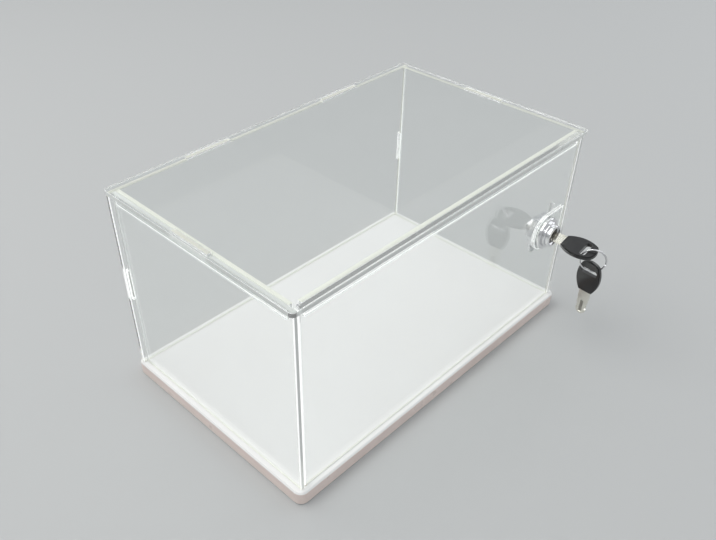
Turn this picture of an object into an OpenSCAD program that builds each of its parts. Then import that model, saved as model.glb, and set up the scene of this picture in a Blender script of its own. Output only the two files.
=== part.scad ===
/* [Case] */
// Clear length inside, left panel to right panel
inner_length = 270; // [200:1:320]
// Clear depth inside, door to back panel
inner_depth = 160; // [120:1:220]
// Clear height inside, base to top panel
inner_height = 140; // [110:1:200]
// Thickness of every clear sheet
sheet = 3; // [2.5:0.1:3.5]
// How far the top panel stands out past the panels under it
overhang = 2.5; // [1.5:0.1:4]
// Radius of the top panel's corners
top_corner_r = 3; // [2:0.5:8]

/* [Base] */
// Thickness of the base board
base_t = 11; // [9:0.5:16]
// How far the base board stands out past the panels
base_margin = 4; // [3:0.5:12]
// Radius of the base board's corners
base_corner_r = 6; // [4:0.5:10]
// Chamfer on the base board's upper and lower edges
base_edge = 1; // [0.4:0.1:1.6]

/* [Tabs] */
// Length of each tab on the back panel
back_tab_l = 36; // [20:1:50]
// Distance of the back panel's tabs from the middle
back_tab_x = 62; // [45:1:80]
// Length of the tab on each side panel
side_tab_l = 33; // [20:1:50]
// Place of the side panels' tabs along the depth
side_tab_y = 2; // [-10:1:10]
// Height of the side panels' rear tabs
rear_tab_h = 24; // [12:1:40]
// Play round a tab in its slot
tab_play = 0.1; // [0.05:0.05:0.2]

/* [Strips] */
// Height of the clear strips under the top panel
strip_h = 8; // [5:0.5:12]
// Gap between the closed door and the strip it shuts against
stop_gap = 0.3; // [0.2:0.05:0.6]

/* [Door] */
// Gap at the door's upright edges
door_side_gap = 0.4; // [0.3:0.05:0.8]
// Gap above and below the door
door_end_gap = 0.5; // [0.4:0.05:1]
// How far the side panels stand out past the closed door
side_proud = 0.5; // [0:0.1:1.5]
// Diameter of the door's pivot pins
pin_d = 1.6; // [1.2:0.1:1.8]
// How deep each pin sits in the door
pin_in_door = 8; // [5:0.5:14]
// How deep the lower pin sits in the base board
pin_in_base = 5; // [3:0.5:8]
// Radial running clearance of pins and turning pieces
run_gap = 0.05; // [0.02:0.01:0.09]
// Outer diameter of the washer under the door
pivot_washer_d = 3.4; // [2.8:0.1:3.6]

/* [Lock] */
// How far the lock's axis lies below the middle of the door
lock_drop = 1; // [0:0.5:10]
// Angle by which the lock is rolled in its round hole
lock_roll = 12; // [0:1:14]
// Distance of the lock's axis from the right panel
lock_inset = 21.5; // [20:0.5:26]
// How far the front flange stands out past the barrel
flange_rim = 3.3; // [2.3:0.1:5]
// Thickness of the front flange
flange_t = 2; // [1.4:0.1:3]
// How far the nose's wide step stands out past its narrow step
nose_step = 1.5; // [1:0.1:2.2]
// Length of the nose's wide step
nose_wide_l = 2; // [1.5:0.1:4]
// Wall of the nose's narrow step round its mouth
nose_wall = 1.4; // [0.9:0.1:2.1]
// Length of the nose's narrow step
nose_l = 3; // [2:0.1:4]
// How far the recess in the nose's mouth stands out past the plug
mouth_rim = 0.9; // [0.3:0.1:1.2]
// Depth of the recess in the nose's mouth
mouth_depth = 1.6; // [0.8:0.1:2]
// Wall of the threaded barrel round the plug
barrel_wall = 3; // [2.6:0.1:3.5]
// How far the barrel reaches past the nut
barrel_past_nut = 0.3; // [0.1:0.1:4]
// How deep each of the barrel's two flats is cut
flat_depth = 1; // [0.5:0.1:1.3]
// Pitch of the barrel's thread
thread_pitch = 1; // [0.8:0.1:1.5]
// Depth of the barrel's thread
thread_depth = 0.4; // [0.2:0.05:0.5]
// How far the lock plate's round end stands out past the barrel
plate_rim = 5; // [4.2:0.1:7]
// Thickness of the washer behind the lock plate
washer_t = 0.8; // [0.5:0.1:1.2]
// How far the washer stands out past the barrel
washer_rim = 2; // [1:0.1:3]
// Wall of the lock nut round the barrel, at its flats
nut_wall = 2.5; // [1.5:0.1:3]
// Thickness of the lock nut
nut_t = 4; // [3:0.5:5]

/* [Cam] */
// Length of the cam from the lock's axis to its tip
cam_l = 24; // [23:0.5:24.2]
// Width of the cam
cam_w = 10; // [9:0.5:12]
// Thickness of the cam
cam_t = 2; // [1.5:0.1:2.5]
// Play round the cam in the right panel's slot
cam_play = 0.6; // [0.4:0.1:1]
// Side of the square drive behind the plug
drive_side = 7; // [6:0.2:7.6]
// Thickness of the turn stop
stop_t = 1; // [0.8:0.1:1.4]
// Diameter of the cam screw's head
screw_head_d = 8; // [7:0.2:9]
// Thickness of the cam screw's head
screw_head_t = 2.4; // [1.8:0.1:3]
// Diameter of the cam screw's shank
screw_d = 4; // [3:0.1:4.5]
// Length of the cam screw's shank in the plug
screw_l = 4; // [3:0.5:4.5]

/* [Plug] */
// Wall of the turning plug beside the keyway
plug_wall = 2; // [1.8:0.1:2.2]
// How far the plug's face lies inside the mouth
plug_recess = 1.9; // [1:0.1:2.4]
// Number of wafers in the plug
wafer_count = 3; // [2:1:3]
// Distance from one wafer to the next
wafer_pitch = 2.6; // [2.3:0.1:2.8]
// Distance from the mouth to the first wafer
wafer_start = 4.2; // [3.6:0.1:4.5]
// Thickness of a wafer
wafer_t = 1; // [0.8:0.05:1.1]
// Solid length of the plug behind the key's tip
plug_end = 5.6; // [5.2:0.1:5.8]
// Height of a wafer
wafer_h = 5; // [4.6:0.1:5.4]
// How far the wafers spring out when the key is drawn
wafer_travel = 0.8; // [0.6:0.05:0.9]
// Wire of a wafer spring
spring_wire = 0.16; // [0.12:0.01:0.2]
// Coil diameter of a wafer spring, wire middle to wire middle
spring_coil_d = 0.6; // [0.5:0.02:0.7]

/* [Keys] */
// Width of the key's blade
blade_w = 8; // [7:0.1:8.2]
// Thickness of the key's blade
blade_t = 2; // [1.6:0.1:2.2]
// How far the shoulder between blade and bow stands out past the blade
shoulder_step = 0.3; // [0.2:0.05:0.5]
// Length of the shoulder that shows
shoulder_l = 8; // [5:0.5:9]
// How deep the shoulder reaches into the bow
tang_l = 6; // [4:0.5:8]
// Width of the plastic bow
bow_w = 18.6; // [18:0.2:20]
// Length of the plastic bow
bow_l = 26; // [25:0.5:30]
// Thickness of the plastic bow
bow_t = 3.4; // [3.2:0.1:3.8]
// Length of the slot across the bow
bow_slot_l = 12.6; // [12:0.2:13]
// Width of the slot across the bow
bow_slot_w = 4.6; // [4.5:0.1:5]
// Bow left between the slot and the bow's end
bow_rim = 6; // [5.6:0.1:6.4]
// Radius of the key ring, to the middle of its wire
ring_r = 9.1; // [8.8:0.1:9.4]
// Diameter of the key ring's wire
ring_wire = 1.3; // [1.1:0.1:1.4]

/* [Hidden] */

// Cutting tools run past the faces that they cut by this much
over = 1;
// Smooth circles for bores and round pieces
round_fn = 96;
small_fn = 48;

// Levels and faces of the case
floor_z = base_t;
roof_z = floor_z + inner_height;
half_l = inner_length / 2;
half_d = inner_depth / 2;
door_back_y = -half_d;
door_front_y = -half_d - sheet;
side_front_y = door_front_y - side_proud;
mid_z = floor_z + inner_height / 2;
top_half_l = half_l + sheet + overhang;
top_half_d = half_d + sheet + overhang;
base_half_l = half_l + sheet + base_margin;
base_half_d = half_d + sheet + base_margin;

// Door and its pivot
pivot_x = -half_l + door_side_gap + sheet / 2;
pivot_y = door_front_y + sheet / 2;
door_right_x = half_l - door_side_gap;
door_low_z = floor_z + door_end_gap;
door_high_z = roof_z - door_end_gap;
pivot_clear = sheet + door_side_gap + sheet;
pin_bore_d = pin_d + 2 * run_gap;
washer_lift = 0.05;

// Diameters of the lock, each from the one inside it
plug_d = blade_w + 2 * plug_wall;
mouth_d = plug_d + 2 * mouth_rim;
nose_d = mouth_d + 2 * nose_wall;
nose_wide_d = nose_d + 2 * nose_step;
barrel_d = plug_d + 2 * barrel_wall;
barrel_flats = barrel_d - 2 * flat_depth;
barrel_hole_d = barrel_d + 2 * tab_play;
flange_d = barrel_d + 2 * flange_rim;
plate_r = barrel_d / 2 + plate_rim;
washer_d = barrel_d + 2 * washer_rim;
nut_flats = barrel_d + 2 * nut_wall;

// Lock stations along its axis, from the mouth inwards
lock_x = half_l - lock_inset;
lock_z = mid_z - lock_drop;
flange_y = door_front_y - flange_t;
nose_step_y = flange_y - nose_wide_l;
mouth_y = nose_step_y - nose_l;
plate_back_y = door_back_y + sheet;
nut_y = plate_back_y + washer_t;
barrel_end_y = nut_y + nut_t + barrel_past_nut;
barrel_l = barrel_end_y - door_front_y;
stop_y = barrel_end_y + run_gap;
cam_y = stop_y + stop_t;
drive_end_y = cam_y + cam_t;
cam_washer_t = 0.8;
cam_washer_d = screw_head_d + cam_washer_t;
screw_head_y = drive_end_y + cam_washer_t;
screw_bore_d = screw_d + 2 * run_gap;
nose_edge = 0.5;
flange_edge = 0.6;
stop_rim = 1.6;
stop_r = plug_d / 2 + stop_rim;
stop_lug_w = 3;
stop_lug_l = 1.4;
stop_room = 0.2;
drive_play = 0.05;
screw_slot_w = 1.2;
screw_slot_t = 1;
nut_edge = 0.8;

// Keyway, wafers and their grooves
keyway_play = 0.08;
plug_y = mouth_y + plug_recess;
wafer_room = 0.05;
wafer_shy = 0.05;
groove_spare = 0.15;
groove_depth = wafer_travel + groove_spare;
groove_play = 0.3;
ear_w = 0.8;
ear_h = 1.2;
ear_in = 3;
ear_seat_in = 1.3;
ear_x = ear_in - plug_d / 2;
ear_seat_x = ear_seat_in - plug_d / 2;
spring_turns = 3;
spring_sides = 6;
spring_steps = 8;
spring_gap = 0.03;

// Keys
shoulder_w = blade_w + 2 * shoulder_step;
blade_l = barrel_end_y - plug_end - mouth_y;
bow_front_y = mouth_y - shoulder_l;
bow_end_y = bow_front_y - bow_l;
slot_mid = bow_l / 2 - bow_rim - bow_slot_w / 2;
bow_flank_r = 22.6;
bow_dome_r = 10.4;
bow_skirt_t = 0.6;
bow_slot_corner = 1.6;
tang_play = 0.04;
tip_cut = 2.4;
notch_w = 1.6;
notch_depth_shares = [0.09, 0.15, 0.06, 0.12, 0.09];
shoulder_ease = 0.6;

// Key ring: it hangs over the bow's rim, its plane turned about Z by this angle from the X axis
ring_angle = -64;
spare_angle = -94;
ring_gap_angle = 8;
ring_gap_place = -6;
ring_lift = 0.16;
ring_shift = 0.4;
ring_out = 1.5;
ring_inner_r = ring_r - ring_wire / 2;
ring_turn = abs(sin(ring_angle));
rim_chord = (bow_rim / 2 + ring_out) / ring_turn;
ring_leg_shift = ring_shift + rim_chord * cos(ring_angle) - rim_chord;
rim_top_z = lock_z + bow_t / 2 / cos(lock_roll) + ring_leg_shift * tan(lock_roll);
ring_z = rim_top_z + ring_lift - sqrt(ring_inner_r * ring_inner_r - rim_chord * rim_chord);
ring_y = bow_end_y + bow_rim / 2 - ring_out;
ring_x = lock_x + ring_shift;
spare_seat = 1.3;
spare_slot_z = ring_z - ring_inner_r + spare_seat - bow_slot_w / 2;

// Box that spans from one corner to the other
module span(low, high) {
    translate(low)
        cube([high[0] - low[0], high[1] - low[1], high[2] - low[2]]);
}

// Flat outline with round corners, as exact arcs
module rounded_outline(half_x, half_y, corner) {
    square([2 * half_x - 2 * corner, 2 * half_y], center = true);
    square([2 * half_x, 2 * half_y - 2 * corner], center = true);
    for (sx = [-1, 1])
        for (sy = [-1, 1])
            translate([sx * (half_x - corner), sy * (half_y - corner)])
                circle(r = corner, $fn = small_fn);
}

// Moves a piece that is drawn about the Z axis onto the lock's axis, Z becoming the way inwards
module on_lock_axis(from_y) {
    translate([lock_x, from_y, lock_z])
        rotate([-90, 0, 0])
            children();
}

// Rolls a piece about the lock's axis into the lock's place in its hole
module roll_lock() {
    translate([lock_x, 0, lock_z])
        rotate([0, -lock_roll, 0])
            translate([-lock_x, 0, -lock_z])
                children();
}

// Solid disc on the lock's axis
module lock_disc(from_y, length, diameter, fn = round_fn) {
    on_lock_axis(from_y)
        cylinder(d = diameter, h = length, $fn = fn);
}

// Slot for one tab that stands up through the top panel
module tab_slot(x, y, size_x, size_y) {
    span([x - size_x / 2 - tab_play, y - size_y / 2 - tab_play, roof_z - over],
         [x + size_x / 2 + tab_play, y + size_y / 2 + tab_play, roof_z + sheet + over]);
}

// Slots of all the tabs that stand up through the top panel
module wall_tab_slots() {
    for (side = [-1, 1]) {
        tab_slot(side * back_tab_x, half_d + sheet / 2, back_tab_l, sheet);
        tab_slot(side * (half_l + sheet / 2), side_tab_y, sheet, side_tab_l);
    }
}

// White board with eased edges, on which the panels stand, with a blind bore for the door's lower pin
module base_board() {
    color("white")
    difference() {
        eased_board();
        translate([pivot_x, pivot_y, floor_z - pin_in_base])
            cylinder(d = pin_bore_d, h = pin_in_base + over, $fn = small_fn);
    }
}

// The board before its bore: four round corners and two bars, all with the same eased edges
module eased_board() {
    x = base_half_l - base_corner_r;
    y = base_half_d - base_corner_r;
    for (sx = [-1, 1])
        for (sy = [-1, 1])
            translate([sx * x, sy * y, 0])
                rotate_extrude($fn = small_fn)
                    intersection() {
                        eased_section(base_corner_r);
                        square([base_corner_r, base_t]);
                    }
    translate([0, y, 0])
        rotate([90, 0, 0])
            linear_extrude(2 * y)
                eased_section(base_half_l);
    translate([-x, 0, 0])
        rotate([90, 0, 90])
            linear_extrude(2 * x)
                eased_section(base_half_d);
}

// Cross section of the board at a half width, with both edges eased
module eased_section(half) {
    inner = half - base_edge;
    polygon([[-inner, 0], [inner, 0], [half, base_edge], [half, base_t - base_edge],
             [inner, base_t], [-inner, base_t], [-half, base_t - base_edge], [-half, base_edge]]);
}

// Clear top sheet with slots for the panels' tabs and a bore for the door's upper pin
module top_panel() {
    color([0.86, 0.95, 0.93, 0.35])
    difference() {
        translate([0, 0, roof_z])
            linear_extrude(sheet)
                rounded_outline(top_half_l, top_half_d, top_corner_r);
        wall_tab_slots();
        translate([pivot_x, pivot_y, roof_z - over])
            cylinder(d = pin_bore_d, h = sheet + 2 * over, $fn = small_fn);
    }
}

// Clear back sheet, as long as the top, with two tabs up and slots for the sides' rear tabs
module back_panel() {
    color([0.86, 0.95, 0.93, 0.35])
    difference() {
        union() {
            span([-top_half_l, half_d, floor_z], [top_half_l, half_d + sheet, roof_z]);
            for (side = [-1, 1])
                span([side * back_tab_x - back_tab_l / 2, half_d, mid_z],
                     [side * back_tab_x + back_tab_l / 2, half_d + sheet, roof_z + sheet]);
        }
        for (side = [-1, 1])
            span([side * (half_l + sheet / 2) - sheet / 2 - tab_play, half_d - over,
                  mid_z - rear_tab_h / 2 - tab_play],
                 [side * (half_l + sheet / 2) + sheet / 2 + tab_play, half_d + sheet + over,
                  mid_z + rear_tab_h / 2 + tab_play]);
    }
}

// Clear side sheet on one side, -1 left or 1 right, before any slot for the cam
module side_sheet(side) {
    low_x = min(side * half_l, side * (half_l + sheet));
    high_x = low_x + sheet;
    span([low_x, side_front_y, floor_z], [high_x, half_d, roof_z]);
    span([low_x, side_tab_y - side_tab_l / 2, mid_z],
         [high_x, side_tab_y + side_tab_l / 2, roof_z + sheet]);
    span([low_x, side_front_y, mid_z - rear_tab_h / 2],
         [high_x, half_d + sheet, mid_z + rear_tab_h / 2]);
}

module left_panel() {
    color([0.86, 0.95, 0.93, 0.35])
        side_sheet(-1);
}

// The right side sheet has the slot that the cam's tip turns up into
module right_panel() {
    cam_low = sqrt(cam_l * cam_l - lock_inset * lock_inset);
    cam_high = (lock_inset + sheet) * tan(lock_roll) + cam_w / 2 / cos(lock_roll);
    color([0.86, 0.95, 0.93, 0.35])
    difference() {
        side_sheet(1);
        span([half_l - over, cam_y - cam_play, lock_z - cam_low - cam_play],
             [half_l + sheet + over, cam_y + cam_t + cam_play, lock_z + cam_high + cam_play]);
    }
}

// Clear door with a half-round hinge edge, two pin bores and the hole for the lock
module front_door() {
    color([0.86, 0.95, 0.93, 0.35])
    difference() {
        union() {
            span([pivot_x, door_front_y, door_low_z], [door_right_x, door_back_y, door_high_z]);
            translate([pivot_x, pivot_y, door_low_z])
                cylinder(d = sheet, h = door_high_z - door_low_z, $fn = small_fn);
        }
        translate([pivot_x, pivot_y, door_low_z - over])
            cylinder(d = pin_d, h = pin_in_door + over, $fn = small_fn);
        translate([pivot_x, pivot_y, door_high_z - pin_in_door])
            cylinder(d = pin_d, h = pin_in_door + over, $fn = small_fn);
        lock_disc(door_front_y - over, sheet + 2 * over, barrel_hole_d);
    }
}

// Clear strip under the top that the door shuts against
module front_top_strip() {
    color([0.86, 0.95, 0.93, 0.35])
        span([-half_l + pivot_clear, door_back_y + stop_gap, roof_z - strip_h],
             [half_l, door_back_y + stop_gap + sheet, roof_z]);
}

// Clear strip under the top along the left panel
module left_top_strip() {
    color([0.86, 0.95, 0.93, 0.35])
        span([-half_l, door_back_y + stop_gap + sheet, roof_z - strip_h],
             [-half_l + sheet, half_d, roof_z]);
}

// Steel pins on the door's hinge line, one in the top panel and one in the base board
module door_pivot_pins() {
    color("silver") {
        translate([pivot_x, pivot_y, floor_z - pin_in_base + run_gap])
            cylinder(d = pin_d, h = pin_in_base - run_gap + door_end_gap + pin_in_door, $fn = small_fn);
        translate([pivot_x, pivot_y, door_high_z - pin_in_door])
            cylinder(d = pin_d, h = pin_in_door + door_end_gap + sheet, $fn = small_fn);
    }
}

// Nylon washer that carries the door on the base board
module pivot_washer() {
    color("ivory")
    translate([pivot_x, pivot_y, floor_z + washer_lift])
        difference() {
            cylinder(d = pivot_washer_d, h = door_end_gap - washer_lift, $fn = small_fn);
            translate([0, 0, -over])
                cylinder(d = pin_d, h = door_end_gap + 2 * over, $fn = small_fn);
        }
}

// Clear plate behind the door round the lock, with one round end
module lock_plate() {
    color([0.86, 0.95, 0.93, 0.35])
    difference() {
        union() {
            lock_disc(door_back_y, sheet, 2 * plate_r);
            span([lock_x, door_back_y, lock_z - plate_r], [door_right_x, plate_back_y, lock_z + plate_r]);
        }
        lock_disc(door_back_y - over, sheet + 2 * over, barrel_hole_d);
    }
}

// Outline of the barrel with its thread, as radius and distance along the axis
function thread_outline() =
    let (count = floor((barrel_l - thread_pitch) / thread_pitch))
    concat([for (i = [0:count - 1])
                for (p = [[barrel_d / 2, 0], [barrel_d / 2 - thread_depth, thread_pitch / 2]])
                    [p[0], i * thread_pitch + p[1]]],
           [[barrel_d / 2, count * thread_pitch], [barrel_d / 2 - thread_depth, barrel_l]]);

// Chromed lock body: flange, stepped nose and threaded barrel, bored for the plug
module lock_body() {
    bore_r = plug_d / 2 + run_gap;
    groove_h = wafer_h + 2 * groove_play;
    color("gainsboro")
    roll_lock()
    difference() {
        union() {
            on_lock_axis(mouth_y)
                rotate_extrude($fn = round_fn)
                    polygon([[0, 0], [nose_d / 2 - nose_edge, 0], [nose_d / 2, nose_edge],
                             [nose_d / 2, nose_l], [nose_wide_d / 2 - nose_edge, nose_l],
                             [nose_wide_d / 2, nose_l + nose_edge],
                             [nose_wide_d / 2, nose_l + nose_wide_l],
                             [flange_d / 2 - flange_edge, nose_l + nose_wide_l],
                             [flange_d / 2, nose_l + nose_wide_l + flange_edge],
                             [flange_d / 2, nose_l + nose_wide_l + flange_t],
                             [0, nose_l + nose_wide_l + flange_t]]);
            intersection() {
                on_lock_axis(door_front_y)
                    rotate_extrude($fn = round_fn)
                        polygon(concat([[0, 0]], thread_outline(), [[0, barrel_l]]));
                span([lock_x - barrel_d, door_front_y - over, lock_z - barrel_flats / 2],
                     [lock_x + barrel_d, barrel_end_y + over, lock_z + barrel_flats / 2]);
            }
        }
        lock_disc(mouth_y - over, barrel_end_y - mouth_y + 2 * over, 2 * bore_r);
        lock_disc(mouth_y - over, mouth_depth + over, mouth_d);
        lock_grooves(bore_r, groove_h);
        stop_cut(bore_r);
    }
}

// The two grooves that take the sprung wafers, for the key's two turned places
module lock_grooves(bore_r, groove_h) {
    first_y = mouth_y + wafer_start - wafer_room - groove_play;
    last_y = mouth_y + wafer_start + (wafer_count - 1) * wafer_pitch + wafer_t + wafer_room + groove_play;
    for (turn = [0, -90])
        translate([lock_x, 0, lock_z])
            rotate([0, turn, 0])
                span([0, first_y, -groove_h / 2], [bore_r + groove_depth, last_y, groove_h / 2]);
}

// Quarter cut in the barrel's rear rim that the turn stop's lug runs in
module stop_cut(bore_r) {
    reach = stop_r + run_gap;
    side = stop_lug_w / 2 + stop_room;
    intersection() {
        lock_disc(barrel_end_y - stop_lug_l - stop_room, stop_lug_l + stop_room + over, 2 * reach);
        translate([lock_x, 0, lock_z])
            rotate([0, 90, 0])
                union() {
                    span([-side, mouth_y, 0], [barrel_d, barrel_end_y + over, barrel_d]);
                    span([0, mouth_y, -side], [barrel_d, barrel_end_y + over, barrel_d]);
                }
    }
}

module lock_washer() {
    color("silver")
    difference() {
        lock_disc(plate_back_y, washer_t, washer_d);
        lock_disc(plate_back_y - over, washer_t + 2 * over, barrel_hole_d);
    }
}

// Hexagon nut, its corners eased by a cone
module lock_nut() {
    across = nut_flats / cos(30);
    color("silver")
    difference() {
        intersection() {
            on_lock_axis(nut_y)
                cylinder(d = across, h = nut_t, $fn = 6);
            on_lock_axis(nut_y)
                cylinder(d1 = across + 2 * (nut_t - nut_edge), d2 = across - 2 * nut_edge,
                         h = nut_t, $fn = round_fn);
        }
        lock_disc(nut_y - over, nut_t + 2 * over, barrel_hole_d);
    }
}

// Turning plug with keyway, wafer slots and a square drive at its rear
module lock_plug() {
    keyway_w = blade_w + 2 * keyway_play;
    keyway_t = blade_t + 2 * keyway_play;
    color("silver")
    roll_lock()
    difference() {
        union() {
            lock_disc(plug_y, barrel_end_y - plug_y, plug_d);
            span([lock_x - drive_side / 2, barrel_end_y - over, lock_z - drive_side / 2],
                 [lock_x + drive_side / 2, drive_end_y - run_gap, lock_z + drive_side / 2]);
        }
        span([lock_x - keyway_w / 2, plug_y - over, lock_z - keyway_t / 2],
             [lock_x + keyway_w / 2, mouth_y + blade_l + keyway_play, lock_z + keyway_t / 2]);
        for (i = [0:wafer_count - 1])
            wafer_slot(mouth_y + wafer_start + i * wafer_pitch);
        lock_disc(drive_end_y - screw_l - over, screw_l + 2 * over, screw_bore_d, small_fn);
    }
}

// Slot for one wafer, right across the plug, with a pocket for its ear and spring
module wafer_slot(y) {
    low_z = lock_z - wafer_h / 2 - wafer_room;
    high_z = lock_z + wafer_h / 2 + wafer_room;
    span([lock_x - plug_d, y - wafer_room, low_z], [lock_x + plug_d, y + wafer_t + wafer_room, high_z]);
    span([lock_x + ear_seat_x, y - wafer_room, lock_z],
         [lock_x + ear_x + ear_w + wafer_travel + wafer_room, y + wafer_t + wafer_room,
          high_z + ear_h]);
}

// Sprung brass wafers, each with a window for the blade and an ear for its spring
module wafers() {
    window_w = blade_w + 2 * keyway_play + wafer_travel;
    window_t = blade_t + 2 * keyway_play;
    color("goldenrod")
    roll_lock()
    for (i = [0:wafer_count - 1]) {
        y = mouth_y + wafer_start + i * wafer_pitch;
        difference() {
            union() {
                intersection() {
                    lock_disc(y, wafer_t, plug_d - 2 * wafer_shy);
                    span([lock_x - plug_d, y, lock_z - wafer_h / 2],
                         [lock_x + plug_d, y + wafer_t, lock_z + wafer_h / 2]);
                }
                span([lock_x + ear_x, y, lock_z + blade_t],
                     [lock_x + ear_x + ear_w, y + wafer_t, lock_z + wafer_h / 2 + ear_h]);
            }
            span([lock_x + blade_w / 2 + keyway_play - window_w, y - over, lock_z - window_t / 2],
                 [lock_x + blade_w / 2 + keyway_play, y + wafer_t + over, lock_z + window_t / 2]);
        }
    }
}

// Points of one ring of a coil's wire at a given turn
function coil_ring(turn, rise, coil_r, wire_r) =
    [for (k = [0:spring_sides - 1])
        let (a = 360 * k / spring_sides, r = coil_r + wire_r * cos(a))
        [r * cos(360 * turn), r * sin(360 * turn), rise * turn + wire_r * sin(a)]];

// One unbroken coil of wire about the Z axis
module coil(turns, rise, coil_r, wire_r) {
    last = turns * spring_steps;
    points = [for (i = [0:last]) each coil_ring(i / spring_steps, rise, coil_r, wire_r)];
    n = spring_sides;
    sides = [for (i = [0:last - 1]) for (k = [0:n - 1])
                let (a = i * n + k, b = i * n + (k + 1) % n)
                each [[a, b, b + n], [a, b + n, a + n]]];
    caps = [for (k = [1:n - 2]) each [[0, k + 1, k], [last * n, last * n + k, last * n + k + 1]]];
    polyhedron(points = points, faces = concat(sides, caps));
}

// Small springs that push the wafers by their ears
module wafer_springs() {
    room = ear_x - ear_seat_x - spring_wire - 2 * spring_gap;
    color("gray")
    roll_lock()
    for (i = [0:wafer_count - 1])
        translate([lock_x + ear_seat_x + spring_gap + spring_wire / 2,
                   mouth_y + wafer_start + i * wafer_pitch + wafer_t / 2,
                   lock_z + wafer_h / 2 + ear_h / 2])
            rotate([0, 90, 0])
                coil(spring_turns, room / spring_turns, spring_coil_d / 2, spring_wire / 2);
}

// Square hole for the plug's drive
module drive_hole(from_y, length) {
    half = drive_side / 2 + drive_play;
    span([lock_x - half, from_y - over, lock_z - half],
         [lock_x + half, from_y + length + over, lock_z + half]);
}

// Disc on the drive whose lug holds the plug to a quarter turn
module turn_stop() {
    color("silver")
    roll_lock()
    difference() {
        union() {
            lock_disc(stop_y, stop_t, 2 * stop_r);
            intersection() {
                lock_disc(barrel_end_y - stop_lug_l, stop_lug_l + stop_t, 2 * stop_r);
                span([lock_x - stop_lug_w / 2, barrel_end_y - stop_lug_l, lock_z - barrel_d],
                     [lock_x + stop_lug_w / 2, cam_y, lock_z - plug_d / 2 - 2 * run_gap]);
            }
        }
        drive_hole(stop_y, stop_t);
    }
}

// Flat cam with a round tip, pointing down while the lock is open
module cam() {
    tip_z = lock_z - cam_l + cam_w / 2;
    color("silver")
    roll_lock()
    difference() {
        union() {
            lock_disc(cam_y, cam_t, drive_side + cam_w);
            span([lock_x - cam_w / 2, cam_y, tip_z], [lock_x + cam_w / 2, drive_end_y, lock_z]);
            translate([lock_x, cam_y, tip_z])
                rotate([-90, 0, 0])
                    cylinder(d = cam_w, h = cam_t, $fn = small_fn);
        }
        drive_hole(cam_y, cam_t);
    }
}

module cam_washer() {
    color("silver")
    difference() {
        lock_disc(drive_end_y, cam_washer_t, cam_washer_d, small_fn);
        lock_disc(drive_end_y - over, cam_washer_t + 2 * over, screw_bore_d, small_fn);
    }
}

// Screw that holds the cam on the drive, with a crossed slot in its head
module cam_screw() {
    color("silver")
    roll_lock()
    difference() {
        union() {
            lock_disc(drive_end_y - screw_l, screw_l + cam_washer_t + screw_head_t, screw_d, small_fn);
            lock_disc(screw_head_y, screw_head_t, screw_head_d, small_fn);
        }
        for (turn = [45, -45])
            translate([lock_x, 0, lock_z])
                rotate([0, turn, 0])
                    span([-screw_d / 2 - screw_slot_t, screw_head_y + screw_head_t - screw_slot_t,
                          -screw_slot_w / 2],
                         [screw_d / 2 + screw_slot_t, screw_head_y + screw_head_t + over,
                          screw_slot_w / 2]);
    }
}

// Moves a key drawn with its length along Y, its shoulder's front at zero, into the lock
module key_in_lock() {
    translate([lock_x, mouth_y, lock_z])
        rotate([0, -lock_roll, 0])
            children();
}

// Hangs a key on the ring with its slot over the ring's lowest point and its blade down
module key_on_ring() {
    translate([ring_x, ring_y, spare_slot_z])
        rotate([0, 0, spare_angle])
            rotate([90, 0, 0])
                rotate([0, 0, 180])
                    translate([0, shoulder_l + bow_l / 2 + slot_mid, 0])
                        children();
}

// Blade, shoulder and tang, flat in X and Y, the blade's tip towards +Y
module key_metal() {
    slit = blade_t + 2 * over;
    difference() {
        translate([0, 0, -blade_t / 2])
            union() {
                linear_extrude(blade_t)
                    polygon([[-blade_w / 2, 0], [-blade_w / 2, blade_l - tip_cut],
                             [-blade_w / 2 + tip_cut, blade_l], [blade_w / 2 - tip_cut, blade_l],
                             [blade_w / 2, blade_l - tip_cut], [blade_w / 2, 0]]);
                linear_extrude(blade_t)
                    polygon([[-shoulder_w / 2, -shoulder_l - tang_l],
                             [-shoulder_w / 2, -shoulder_ease - keyway_play],
                             [-shoulder_w / 2 + shoulder_ease, -keyway_play],
                             [-blade_w / 2, -keyway_play], [-blade_w / 2, over],
                             [blade_w / 2, over], [blade_w / 2, -keyway_play],
                             [shoulder_w / 2 - shoulder_ease, -keyway_play],
                             [shoulder_w / 2, -shoulder_ease - keyway_play],
                             [shoulder_w / 2, -shoulder_l - tang_l]]);
            }
        for (i = [0:wafer_count - 1])
            for (side = [-1, 1])
                key_notch(side, wafer_start + wafer_t / 2 + i * wafer_pitch,
                          notch_depth_shares[i % len(notch_depth_shares)] * blade_w, slit);
    }
}

// One flat-bottomed notch in the blade's edge
module key_notch(side, along, depth, slit) {
    translate([side * blade_w / 2, along, -slit / 2])
        linear_extrude(slit)
            polygon([[-side * depth, -notch_w / 4], [-side * depth, notch_w / 4],
                     [side * depth, notch_w], [side * depth, -notch_w]]);
}

// Moulded bow: a full-thickness pad with a thinner skirt, a cross slot and a pocket for the tang
module key_grip() {
    skirt = bow_t - 2 * bow_skirt_t;
    difference() {
        translate([0, -shoulder_l - bow_l / 2, 0])
            difference() {
                union() {
                    translate([0, 0, -skirt / 2])
                        linear_extrude(skirt)
                            bow_shape(0);
                    translate([0, 0, -bow_t / 2])
                        linear_extrude(bow_t)
                            bow_shape(bow_skirt_t);
                }
                translate([0, -slot_mid, -bow_t])
                    linear_extrude(2 * bow_t)
                        rounded_outline(bow_slot_l / 2, bow_slot_w / 2, bow_slot_corner);
            }
        span([-shoulder_w / 2 - tang_play, -shoulder_l - tang_l - tang_play, -blade_t / 2 - tang_play],
             [shoulder_w / 2 + tang_play, over, blade_t / 2 + tang_play]);
    }
}

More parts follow.
